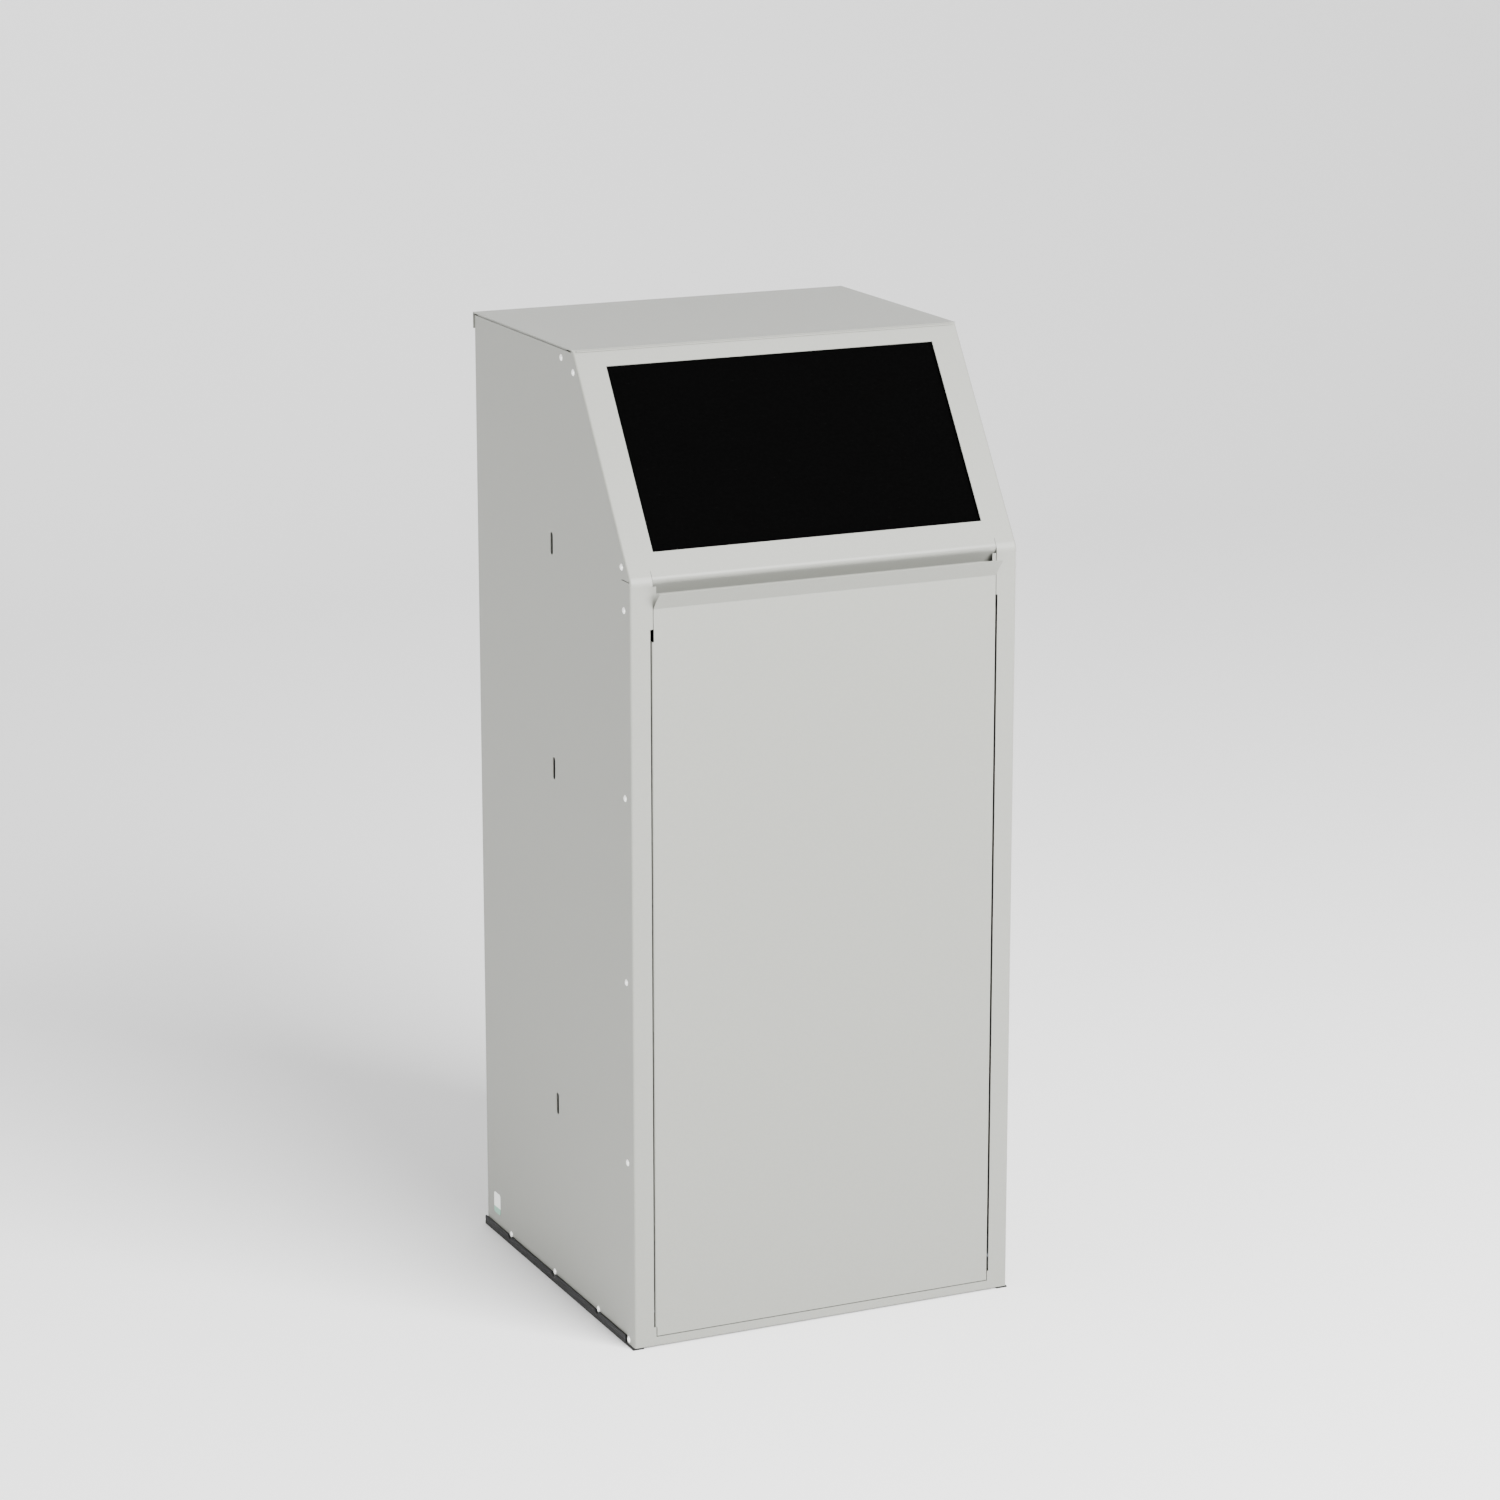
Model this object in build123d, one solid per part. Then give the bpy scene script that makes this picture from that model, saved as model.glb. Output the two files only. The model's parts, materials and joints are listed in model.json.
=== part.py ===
"""Free-standing waste and recycling collection cabinet in folded sheet steel.

A U-shaped body wrap carries a riveted front panel whose upper part slopes back to hold a sprung,
black throw-in flap. The door below it tilts forward on two pivot pins near its foot and is pulled by
the grip flange that leans out along its top. A galvanised inner bin stands on the floor pan inside.

Frame: millimetres, +X to the cabinet's right as its user faces it from the front, +Y to the rear,
+Z up. The origin is on the floor, midway between the edge of the door's grip and the rear rivets.
"""

from build123d import *
import math
import os

# Overall sizes
width = 400.0                # over the front panel's side flanges
depth = 385.0                # front face to the top cover's rear flange
height = 945.0               # floor to the top face
fold_height = 750.0          # floor to the fold between door frame and slope
slope_run = 133.0            # how far back the slope has gone where it meets the top

# Sheets and clearances
sheet = 1.0                  # body, front, top, pan and door
bend_radius = 2.0            # outside radius of the sharp folds
fold_radius = 15.0           # outside radius of the fold under the slope
foot_web = 2.0               # rubber under the walls
running_gap = 0.05           # radial gap of a pin that turns in its hole

# Front panel
flange_width = 18.0          # side flanges, over the body wrap
stile_width = 20.0           # beside the door
end_steps = (2.6, 1.4)       # how much narrower the opening's two ends are, on the left and right
step_low = 20.5              # the opening is at its full width between these heights
step_high = 704.5
sill_top = 10.5              # lower edge of the door opening
window_width = 340.0
window_low = 28.5            # from the fold, up the slope
window_high = 217.5
relief_width = 1.2           # slit between the two flanges at the fold
lip_radius = 6.0             # the lip's soft upper fold
lip_drop = 14.0              # how far the lip drops while it goes in
lip_depth = 9.5              # front face to the lip's return flange
lip_flange = 10.0            # height of the lip's return flange
lip_gap = 0.4                # beside the lip's ends
lip_start = 5.0              # how far past its bend the lip starts up the slope
lip_joint = 1.0              # how far lip and slope run into each other
top_lap = 14.0               # front panel's flange under the top cover
top_lap_gap = 1.5            # that flange beside the walls
top_lap_joint = 6.0          # where that flange joins the slope, below its top
side_return_end = 3.0        # wall flanges' end behind the slope's top
wall_drop = 0.7              # walls' upper edges under the top cover's plate
cover_lead = 0.3             # top cover's front edge ahead of the slope's top
cover_flange_front = 18.0    # its side flanges' front end behind the slope's top
cover_flange_back = 8.0      # and their rear end before the back
rail_bottom = 705.0          # lower edge of the rail behind the door's top
rail_overlap = 8.0           # how far the rails run behind the stiles
rail_shelf = 14.0            # stiffening flange of the rail
corner_plate_show = 4.0      # how far the corner plates reach past the narrow opening's edge
corner_plate_top = 5.5       # corner plates' upper edge, under the fold
corner_cheek_top = 2.5       # their cheeks' upper edge, under the fold
sill_shelf = 14.0            # depth of the sill's shelf

# Door
door_gap = 1.6               # beside the door, over its full width
end_gap = 0.8                # beside the door's narrow ends
door_bottom = 11.5
door_fold = 723.5            # where the front face turns out into the grip flange
grip_rise = 16.5
grip_run = 14.0
door_depth = 18.0
door_foot = 8.0              # depth of the flange along the door's lower edge
corner_notches = (3.7, 2.4)  # left and right reliefs above the flanges, from the opening's edges
corner_notch_height = 12.0
pivot_back = 5.5             # pin axis from the door's face
pivot_up = 24.0              # pin axis from the door's lower edge
pin_radius = 2.5
pin_head = 4.2
pin_head_thick = 1.2
pin_past = 1.5               # how far a pin passes its bracket
edge_break = 0.5             # chamfer on the ends of pins and rod
door_edge_radius = 1.5
grip_start = 8.0             # the grip's bent sheet starts this far under its fold
grip_joint = 2.0             # how far grip and skin run into each other
bracket_thick = 2.0          # fixed brackets for the pins
pivot_clear = 0.6            # bracket beside the opening's edge
pivot_bracket_low = 22.0
pivot_bracket_high = 56.0
pivot_bracket_depth = 22.0
pivot_bracket_foot = 12.0
pivot_bracket_round = 4.0
stiffener_width = 40.0
stiffener_depth = 8.0
stiffener_heights = (250.0, 480.0)
stiffener_side_gap = 14.0
stiffener_foot = 10.0        # each welded foot of a hat channel

# Body rivets: blind rivets with a 3.2 mm shank
rivet_shank = 1.6
rivet_hole = 1.65
rivet_head = 3.25
rivet_dome = 1.2
rivet_tail = 2.3
rivet_tail_length = 2.4
rivet_eye = 0.9
rivet_inset = 14.5           # front flange rivets, from the face
rivet_first = 6.5
rivet_pitch = 178.8
rivet_count = 5
slope_rivets = (20.5, 218.0)
slope_rivet_inset = 9.7
base_rivet_depths = (91.5, 202.5, 318.5)   # from the front face
base_rivet_height = 10.0
top_rivet_depth = 162.0      # from the front face
top_rivet_drop = 2.0         # top side rivets under the middle of the flange
top_flange = 16.0            # height of the top cover's flanges
rear_rivet_columns = (-140.0, 0.0, 140.0)

# Slots in the side walls, for coupling cabinets side by side
slot_width = 6.0
slot_length = 22.0
slot_heights = (190.0, 530.0, 751.0)
slot_depth = 190.5           # from the front face

# Edge trim under the side walls
trim_leg = 2.4
trim_height = 9.0
trim_web_width = 9.0 
trim_notch = 4.2
trim_round = 1.0
trim_lead = 2.5              # leg's front end behind the front flange
trim_setback = 0.6           # foot's front end behind the face
trim_joint = 0.5             # how far foot and leg run into each other

# Floor pan and bin guides
pan_flange = 16.0
pan_side_gap = 6.0           # side flanges start this far behind the front flanges
pan_rear_gap = 4.0           # side and rear flanges stop this far short of the corners
pan_notch = 3.0              # corner cut-outs for the wrap's rear bends
guide_height = 20.0
guide_foot = 14.0
guide_gap = 3.0
guide_short = 15.0           # guides' ends inside the bin's ends

# Inner bin
bin_width = 296.0
bin_depth = 312.0
bin_height = 600.0
bin_sheet = 1.0
bin_corner = 25.0
bin_setback = 36.0           # bin's front wall behind the cabinet's front face
rim_out = 4.0
rim_height = 8.0
rim_round = 3.4

# Bin handles
wire_radius = 3.0
handle_span = 108.0
handle_drop = 36.0
handle_below_rim = 12.0      # axis under the rim's lower edge
ear_reach = 12.0
ear_sheet = 2.0
ear_height = 16.0
ear_spread = 47.0            # middle of each ear from the handle's middle
handle_end = 5.0             # how far a wire end passes its ear
handle_bend = 8.0
ear_bend = 4.0               # wire's bend beside an ear
ear_round = 5.0

# Throw-in flap, measured on the slope: s runs up from the fold, n runs in from the outer face
flap_side_lap = 7.0
flap_low = 20.5
flap_face = 3.0              # n of the flap's front face
flap_sheet = 1.2
flap_return = 9.0
flap_face_end = 8.0          # upper edge of the flap's face, under the rod
neck_start = 9.0             # neck between face and curl starts this far under the rod
wing_end = 22.0              # side returns' upper ends, under the rod
rod_s = 226.0
rod_radius = 3.0
curl_radius = 4.2
curl_half = 150.0
bracket_sheet = 2.0
bracket_gap = 4.0            # bracket beside the flap's edge
bracket_reach = 7.5          # bracket past the rod's axis
bracket_foot = 12.0
bracket_below = 12.0         # bracket under the rod's axis
bush_body = 4.2
bush_flange = 6.0
bush_flange_thick = 1.2
rod_past_bracket = 4.0
clip_radius = 4.1
clip_thick = 0.8
clip_gap = 0.6               # beside the bracket
clip_mouth = 1.8             # half its open side
spring_wire = 0.8
spring_radius = 5.2
spring_turns = 7
spring_pitch = 2.1
spring_leg = 22.0
spring_fixed_leg = 10.0
spring_gap = 3.0             # coil beside the curl
spring_touch = 0.1           # between the lower leg and the flap's back
buffer_length = 20.0
buffer_width = 4.0
buffer_beside = 1.2          # pads beside the window
buffer_low = 12.0            # lower pads above the window's lower edge
buffer_high = 40.0           # upper pads' lower ends under the window's upper edge
buffer_free = 0.1            # between a pad and the slope

# Magnetic catches on the rail
catch_width = 46.0
catch_height = 15.0
catch_offset = 40.0          # catch's outer end from the door opening's edge
buffer_radius = 5.0
buffer_offset = 20.0         # door buffers from the door opening's edge
buffer_rise = 9.0            # their middle above the rail's lower edge
buffer_gap = 0.3             # between a buffer and the door's skin
buffer_round = 0.8
catch_rise = 1.5             # catch above the rail's lower edge
catch_round = 2.0
catch_ear = 10.0             # length of each screw ear
catch_hole_in = 5.0          # screws from the housing's ends
catch_floor = 2.0
catch_rim = 2.5              # housing above and below the magnet's slot
catch_recess = 2.0           # depth of the recess for a screw's head
catch_recess_gap = 0.3       # round a screw's head
magnet_play = 0.2
magnet_set = 0.6             # magnet bar inside the housing's face
pole_proud = 0.4             # pole plates out of the housing's face
screw_head_thick = 1.4
screw_past = 3.3             # screw past the rail's face
cross_reach = 1.6
cross_half = 0.3
cross_depth = 0.7
catch_screw_radius = 1.5
catch_screw_head = 3.0
catch_wall_gap = 0.6
pole_thick = 1.5

# Label
label_width = 17.0
label_height = 22.0
label_thick = 0.25
label_round = 3.0
label_depth = 356.0          # from the front face
label_z = 31.0

# Cutting
past = 5.0                   # how far a cutter runs past the metal
near = 0.01                  # tolerance when edges are picked by place

# Places worked out from the sizes above
half = width / 2
wall = half - sheet                     # outer face of the side walls
wall_in = wall - sheet
front = (grip_run - depth - rivet_dome) / 2
back = front + depth
slot_y = front + slot_depth
label_y = front + label_depth
base = foot_web                         # lower edge of every sheet
top_under = height - sheet              # under the top cover's plate
slope_rise = height - fold_height
slope_length = math.hypot(slope_run, slope_rise)
up_y, up_z = slope_run / slope_length, slope_rise / slope_length
opening = half - stile_width            # half the door opening
end_x = (end_steps[0] - opening, opening - end_steps[1])        # left and right edge of its ends
rail_face = front + lip_depth + sheet
rail_half = opening + rail_overlap
lip_end = fold_height - lip_drop
door_half = opening - door_gap
door_end_x = (end_x[0] + end_gap, end_x[1] - end_gap)
pivot_y, pivot_z = front + pivot_back, door_bottom + pivot_up
bracket_at = opening + pivot_clear      # inner face of a pivot bracket
skin = front + sheet                    # inner face of the front sheet and of the door's skin
pan_top = base + sheet
bin_front = front + bin_setback
bin_back = bin_front + bin_depth
bin_mid = (bin_front + bin_back) / 2
bin_top = pan_top + bin_height
handle_x = bin_width / 2 + ear_reach / 2
handle_z = bin_top - rim_height - handle_below_rim
rod_n = flap_face + curl_radius
flap_half = window_width / 2 + flap_side_lap
bracket_x = flap_half + bracket_gap


def block(x, y, z):
    """A box from its (low, high) pair along each axis."""
    size = [high - low for low, high in (x, y, z)]
    middle = [(high + low) / 2 for low, high in (x, y, z)]
    return Pos(*middle) * Box(*size)


def prism_x(outline, x):
    """The (y, z) outline pushed along X between the pair x."""
    face = make_face(Plane.YZ.offset(x[0]) * Polyline(*outline, close=True))
    return extrude(face, x[1] - x[0], dir=(1, 0, 0))


def rod_x(y, z, radius, x):
    """A round bar along X."""
    return Pos((x[0] + x[1]) / 2, y, z) * Rot(0, 90, 0) * Cylinder(radius, x[1] - x[0])


def rod_y(x, z, radius, y):
    """A round bar along Y."""
    return Pos(x, (y[0] + y[1]) / 2, z) * Rot(90, 0, 0) * Cylinder(radius, y[1] - y[0])


def bar(start, end, radius):
    """A round bar between two points."""
    run = Vector(*end) - Vector(*start)
    return extrude(Plane(origin=start, z_dir=run.normalized()) * Circle(radius), run.length)


def on_slope(s, n):
    """(y, z) of a point s up the slope from the fold and n in from its outer face."""
    return (front + s * up_y + n * up_z, fold_height + s * up_z - n * up_y)


def slope_block(x, s, n):
    """A box that lies along the slope."""
    corners = [on_slope(s[0], n[0]), on_slope(s[1], n[0]), on_slope(s[1], n[1]), on_slope(s[0], n[1])]
    return prism_x(corners, x)


def bent_sheet(route, radii, x):
    """A folded sheet along X from the (y, z) route of one face; the metal lies left of the route."""
    line = FilletPolyline(*route, radius=radii)
    outline = Wire(line.edges()).offset_2d(sheet, side=Side.LEFT)
    face = Plane.YZ.offset(x[0]) * make_face(outline.edges())
    return extrude(face, x[1] - x[0], dir=(1, 0, 0))


def both_sides(shape):
    """The shape and its mirror image across the middle of the cabinet."""
    return [shape, mirror(shape, Plane.YZ)]


def inset_outline(inset, low, rear):
    """The cabinet's front outline moved in by inset: up the face, up the slope and back to rear."""
    corner = front + inset
    shift = inset * (1 - up_z) / up_y
    top = height - inset
    run = (top - fold_height + shift) * slope_run / slope_rise
    return [(corner, low), (corner, fold_height - shift), (corner + run, top), (rear, top), (rear, low)]


def rounded_front(inset, half_width, low, rear):
    """The solid inside inset_outline with the folds of the front rounded."""
    solid = prism_x(inset_outline(inset, low, rear), (-half_width, half_width))
    corner = front + inset
    along = solid.edges().filter_by(Axis.X)
    fold = along.sort_by(lambda e: abs(e.center().Y - corner) + abs(e.center().Z - fold_height))[0]
    solid = fillet(fold, fold_radius - inset)
    sides = [
        e for e in solid.edges()
        if abs(abs(e.center().X) - half_width) < near
        and e.center().Z < height - inset - 1
        and e.center().Y < rear - 1
        and e.center().Z > low + 1
    ]
    return fillet(sides, bend_radius - inset)


def rivet(grip):
    """A blind rivet along +X with its head's seat at the origin and its tail past the grip."""
    outline = [
        (-grip - rivet_tail_length, 0),
        (-grip - rivet_tail_length, rivet_tail),
        (-grip, rivet_tail),
        (-grip, rivet_shank),
        (0, rivet_shank),
        (0, rivet_head),
    ]
    eye_edge = (rivet_dome * 0.95, rivet_eye)
    dome = ThreePointArc(outline[-1], (rivet_dome * 0.68, rivet_head * 0.66), eye_edge)
    inner = Polyline(eye_edge, (rivet_dome * 0.5, rivet_eye), (rivet_dome * 0.5, 0), outline[0])
    return revolve(make_face([Polyline(*outline), dome, inner]), Axis.X)


def side_rivets(seat, grip, places):
    """Rivets through the right-hand wall at (y, z) places, heads on x = seat."""
    return [Pos(seat, y, z) * rivet(grip) for y, z in places]


front_places = [(front + rivet_inset, rivet_first + rivet_pitch * i) for i in range(rivet_count)]
slope_places = [on_slope(s, slope_rivet_inset) for s in slope_rivets]
base_places = [(front + far, base_rivet_height) for far in base_rivet_depths]
top_places = [(front + top_rivet_depth, top_under - top_flange / 2 - top_rivet_drop)]
rear_z = height - top_flange / 2


def wall_holes(places):
    """Rivet holes through both side walls."""
    return [rod_x(y, z, rivet_hole, (-half - past, half + past)) for y, z in places]


def rear_holes():
    """Rivet holes through the back and the top cover's rear flange."""
    return [rod_y(x, rear_z, rivet_hole, (back - past, back + past)) for x in rear_rivet_columns]


def front_panel():
    """Slope, door frame and the side flanges that lap over the body wrap, folded from one sheet."""
    rear = front + slope_run + top_lap + past
    beside = half + past
    outer = rounded_front(0.0, half, base, rear)
    inner = rounded_front(sheet, wall, base - past, rear + past)
    shell = outer - inner
    # everything behind the side flanges goes, apart from the flange under the top cover
    keep_slope = inset_outline(flange_width, base - past, rear + past)
    shell -= prism_x(keep_slope, (-beside, beside))
    shell -= block((-beside, beside), (front - past, rear + past), (top_under, height + past))
    flange_end = front + slope_run + top_lap
    shell -= block((-beside, beside), (flange_end, rear + past), (base - past, height + past))
    # cuts: window, door opening with its narrower ends, relief slits at the fold
    shell -= slope_block((-window_width / 2, window_width / 2), (window_low, window_high), (-past, past))
    through = (front - past, skin + past)
    lip_top = on_slope(lip_radius + lip_start - lip_joint, 0)[1]
    shell -= block(end_x, through, (sill_top, lip_top))
    shell -= block((-opening, opening), through, (step_low, step_high))
    slit = block((wall - sheet / 2, beside), (front + bend_radius, front + flange_width + past),
                 (fold_height - relief_width / 2, fold_height + relief_width / 2))
    for cut in both_sides(slit) + wall_holes(front_places + slope_places):
        shell -= cut
    side_end = front + slope_run + side_return_end
    for cut in both_sides(block((wall_in - sheet, beside), (side_end, rear + past), (0, height + past))):
        shell -= cut
    return shell + lip()


def top_panel_flange():
    """The front panel's flange that the top cover rests on."""
    half_flange = wall_in - top_lap_gap
    y = (on_slope(slope_length - top_lap_joint, sheet)[0], front + slope_run + top_lap)
    return block((-half_flange, half_flange), y, (top_under - sheet, top_under))


def lip():
    """The soft fold above the door and the return flange behind it."""
    back_face = front + lip_depth
    route = [
        on_slope(lip_radius + lip_start, 0),
        (front, fold_height),
        (back_face, lip_end),
        (back_face, lip_end - lip_flange),
    ]
    return bent_sheet(route, (lip_radius, bend_radius - sheet), (end_x[0] + lip_gap, end_x[1] - lip_gap))


def body_wrap():
    """Left wall, back and right wall, folded from one sheet."""
    lead = bend_radius + sheet
    wall_top = top_under - wall_drop
    outline = inset_outline(lead, base, back - sheet)
    outline = [(y, min(z, wall_top)) for y, z in outline]
    outer = prism_x(outline, (-wall, wall))
    rear_edges = outer.edges().filter_by(Axis.Z).sort_by(Axis.Y)[-2:]
    outer = fillet(rear_edges, bend_radius)
    inner = block((-wall_in, wall_in), (front - past, back - 2 * sheet), (base - past, height))
    inner = fillet(inner.edges().filter_by(Axis.Z).sort_by(Axis.Y)[-2:], bend_radius - sheet)
    shell = outer - inner
    for cut in wall_holes(front_places + slope_places + base_places + top_places) + rear_holes():
        shell -= cut
    for z in slot_heights:
        for cut in both_sides(slot(z)):
            shell -= cut
    return shell


def slot(z):
    """One upright coupling slot through the right wall, centred at height z."""
    straight = slot_length - slot_width
    x = (wall_in - past, wall + past)
    ends = [rod_x(slot_y, z + side * straight / 2, slot_width / 2, x) for side in (-1, 1)]
    middle = block(x, (slot_y - slot_width / 2, slot_y + slot_width / 2),
                   (z - straight / 2, z + straight / 2))
    return middle + ends[0] + ends[1]


def top_cover():
    """The lid sheet: a plate that overhangs the walls, with flanges down inside them and behind."""
    plate = block((-half, half), (front + slope_run - cover_lead, back), (top_under, height))
    rear = block((-half, half), (back - sheet, back), (height - top_flange, height))
    side_y = (front + slope_run + cover_flange_front, back - cover_flange_back)
    side = block((wall_in - sheet, wall_in), side_y, (top_under - top_flange, height))
    cover = plate + rear
    for flange in both_sides(side):
        cover += flange
    for cut in wall_holes(top_places) + rear_holes():
        cover -= cut
    return cover


def floor_pan():
    """The tray that closes the cabinet's foot and carries the bin."""
    y_front, y_back = skin + sheet, back - 2 * sheet
    plate = block((-wall_in, wall_in), (y_front, y_back), (base, pan_top))
    side_y = (front + flange_width + pan_side_gap, y_back - pan_rear_gap)
    side = block((wall_in - sheet, wall_in), side_y, (base, base + pan_flange))
    rear_half = wall_in - pan_rear_gap
    rear = block((-rear_half, rear_half), (y_back - sheet, y_back), (base, base + pan_flange))
    ahead = block((-rail_half, rail_half), (y_front, y_front + sheet), (base, sill_top - sheet))
    pan = plate + rear + ahead
    for flange in both_sides(side):
        pan += flange
    corner = block((wall_in - pan_notch, wall), (y_back - pan_notch, back), (0, base + pan_flange + past))
    for cut in both_sides(corner):
        pan -= cut
    for cut in wall_holes(base_places):
        pan -= cut
    return pan


def sill_rail():
    """Angle behind the frame under the door."""
    leg = block((-rail_half, rail_half), (skin, skin + sheet), (base + sheet, sill_top))
    shelf = block((-rail_half, rail_half), (skin, skin + sill_shelf), (sill_top - sheet, sill_top))
    return leg + shelf


def catch_rail():
    """Angle behind the top of the door, which carries the catches and buffers."""
    plate = block((-rail_half, rail_half), (rail_face, rail_face + sheet), (rail_bottom, lip_end))
    shelf = block((-rail_half, rail_half), (rail_face, rail_face + rail_shelf), (lip_end - sheet, lip_end))
    rail = plate + shelf
    for hx, hz in catch_holes():
        for side in (-1, 1):
            rail -= rod_y(side * hx, hz, catch_screw_radius, (rail_face - past, rail_face + past))
    return rail


def corner_plates():
    """Angles behind the opening's top corners: the door's ends close on them, cheeks end the groove."""
    plates = []
    for side, edge in ((-1, end_x[0]), (1, end_x[1])):
        inner, outer = edge - side * corner_plate_show, side * (opening + rail_overlap)
        x = (min(inner, outer), max(inner, outer))
        plate = block(x, (skin, skin + sheet), (step_high, fold_height - corner_plate_top))
        cheek_x = (min(edge, edge + side * sheet), max(edge, edge + side * sheet))
        plate += block(cheek_x, (skin + sheet, rail_face), (step_high, fold_height - corner_cheek_top))
        plates.append(plate)
    return plates


def pivot_bracket():
    """Right-hand bracket behind the stile, which holds one of the door's pins."""
    z = (pivot_bracket_low, pivot_bracket_high)
    ear = block((bracket_at, bracket_at + bracket_thick), (skin, skin + pivot_bracket_depth), z)
    corners = ear.edges().filter_by(Axis.X).group_by(Axis.Y)[-1]
    ear = fillet(corners, pivot_bracket_round)
    foot = block((bracket_at, bracket_at + pivot_bracket_foot), (skin, skin + bracket_thick), z)
    hole = rod_x(pivot_y, pivot_z, pin_radius + running_gap, (bracket_at - past, bracket_at + past))
    return ear + foot - hole


def door_pin():
    """Right-hand headed pin, fast in the door's flange and free to turn in the bracket."""
    inside = door_half - sheet
    end = bracket_at + bracket_thick + pin_past
    shank = rod_x(pivot_y, pivot_z, pin_radius, (inside, end))
    shank = chamfer(shank.edges().sort_by(Axis.X)[-1], edge_break)
    return shank + rod_x(pivot_y, pivot_z, pin_head, (inside - pin_head_thick, inside))


def edge_trim():
    """Right-hand rubber strip: a foot under the wall and a leg up its outside."""
    leg = block((wall, wall + trim_leg), (front + flange_width + trim_lead, back), (0, trim_height))
    tops = leg.edges().filter_by(Axis.Y).group_by(Axis.X)[-1]
    leg = fillet(tops, trim_round)
    foot_x = (wall - trim_web_width, wall + trim_joint)
    strip = leg + block(foot_x, (front + trim_setback, back), (0, foot_web))
    for y, z in base_places:
        strip -= rod_x(y, z, trim_notch, (wall, wall + trim_leg + past))
    return strip


def door_panel():
    """The door tray, its narrower ends and the grip flange that leans out along its top."""
    skin_y = (front, skin)
    notch_low = step_high - corner_notch_height
    notch_x = (corner_notches[0] - opening, opening - corner_notches[1])
    tray = block((-door_half, door_half), skin_y, (step_low, notch_low))
    side = block((door_half - sheet, door_half), (front, front + door_depth), (step_low, notch_low))
    for flange in both_sides(side):
        tray += flange
    folds = [
        e for e in tray.edges().filter_by(Axis.Z)
        if abs(e.center().Y - front) < near and e.length > step_high / 2
    ]
    tray = fillet(folds, door_edge_radius)
    tray += block(notch_x, skin_y, (notch_low, step_high))
    tray += block(door_end_x, skin_y, (step_high, door_fold - grip_start + grip_joint))
    tray += block(door_end_x, skin_y, (door_bottom, step_low))
    tray += block(door_end_x, (front, front + door_foot), (door_bottom, door_bottom + sheet))
    grip_route = [
        (front - grip_run, door_fold + grip_rise),
        (front, door_fold),
        (front, door_fold - grip_start),
    ]
    tray += bent_sheet(grip_route, (bend_radius,), door_end_x)
    return tray - rod_x(pivot_y, pivot_z, pin_radius, (-opening, opening))


def door_stiffeners():
    """Two hat channels welded across the inside of the door."""
    x = (-door_half + stiffener_side_gap, door_half - stiffener_side_gap)
    channels = []
    for z in stiffener_heights:
        low, high = z - stiffener_width / 2, z + stiffener_width / 2
        crown = (low + stiffener_foot, high - stiffener_foot)
        hat = block(x, (skin, skin + stiffener_depth), crown)
        hat -= block(x, (skin, skin + stiffener_depth - sheet), (crown[0] + sheet, crown[1] - sheet))
        hat += block(x, (skin, skin + sheet), (low, crown[0] + sheet))
        hat += block(x, (skin, skin + sheet), (crown[1] - sheet, high))
        channels.append(hat)
    return channels


def catch_box():
    """(x, y, z) pairs of the right-hand catch's housing."""
    x_high = opening - catch_offset
    z_low = rail_bottom + catch_rise
    return (
        (x_high - catch_width, x_high),
        (skin + catch_wall_gap, rail_face),
        (z_low, z_low + catch_height),
    )


def catch_holes():
    """(x, z) of the catch's two screws."""
    x, _, z = catch_box()
    middle = (z[0] + z[1]) / 2
    return [(x[0] + catch_hole_in, middle), (x[1] - catch_hole_in, middle)]


def catch_housing():
    """Plastic housing with a slot for the magnet and countersunk ears."""
    x, y, z = catch_box()
    body = block(x, y, z)
    body = fillet(body.edges().filter_by(Axis.Y), catch_round)
    slot_x, slot_z = (x[0] + catch_ear, x[1] - catch_ear), (z[0] + catch_rim, z[1] - catch_rim)
    body -= block(slot_x, (y[0] - past, y[1] - catch_floor), slot_z)
    for hx, hz in catch_holes():
        body -= rod_y(hx, hz, catch_screw_radius, (y[0] - past, y[1] + past))
        body -= rod_y(hx, hz, catch_screw_head + catch_recess_gap, (y[0] - past, y[0] + catch_recess))
    return body


def catch_magnet():
    """Magnet bar between two steel pole plates, face to face."""
    x, y, z = catch_box()
    inset = catch_ear + magnet_play
    bar_x, bar_end = (x[0] + inset, x[1] - inset), y[1] - catch_floor
    low, high = z[0] + catch_rim + magnet_play, z[1] - catch_rim - magnet_play
    bar = block(bar_x, (y[0] + magnet_set, bar_end), (low + pole_thick, high - pole_thick))
    pole_y = (y[0] - pole_proud, bar_end)
    poles = [block(bar_x, pole_y, z) for z in ((low, low + pole_thick), (high - pole_thick, high))]
    return [bar] + poles


def catch_screws():
    """Two pan-head screws through the housing into the rail."""
    _, y, _ = catch_box()
    screws = []
    for hx, hz in catch_holes():
        screw = rod_y(hx, hz, catch_screw_head, (y[0], y[0] + screw_head_thick))
        screw += rod_y(hx, hz, catch_screw_radius, (y[0] + cross_depth, rail_face + screw_past))
        for reach_x, reach_z in ((cross_reach, cross_half), (cross_half, cross_reach)):
            screw -= block(
                (hx - reach_x, hx + reach_x), (y[0] - past, y[0] + cross_depth), (hz - reach_z, hz + reach_z)
            )
        screws.append(screw)
    return screws


def door_buffer():
    """Right-hand rubber buffer on the rail, for the door's skin to close against."""
    y = (skin + buffer_gap, rail_face)
    pad = rod_y(opening - buffer_offset, rail_bottom + buffer_rise, buffer_radius, y)
    return fillet(pad.edges().sort_by(Axis.Y)[0], buffer_round)


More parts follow.
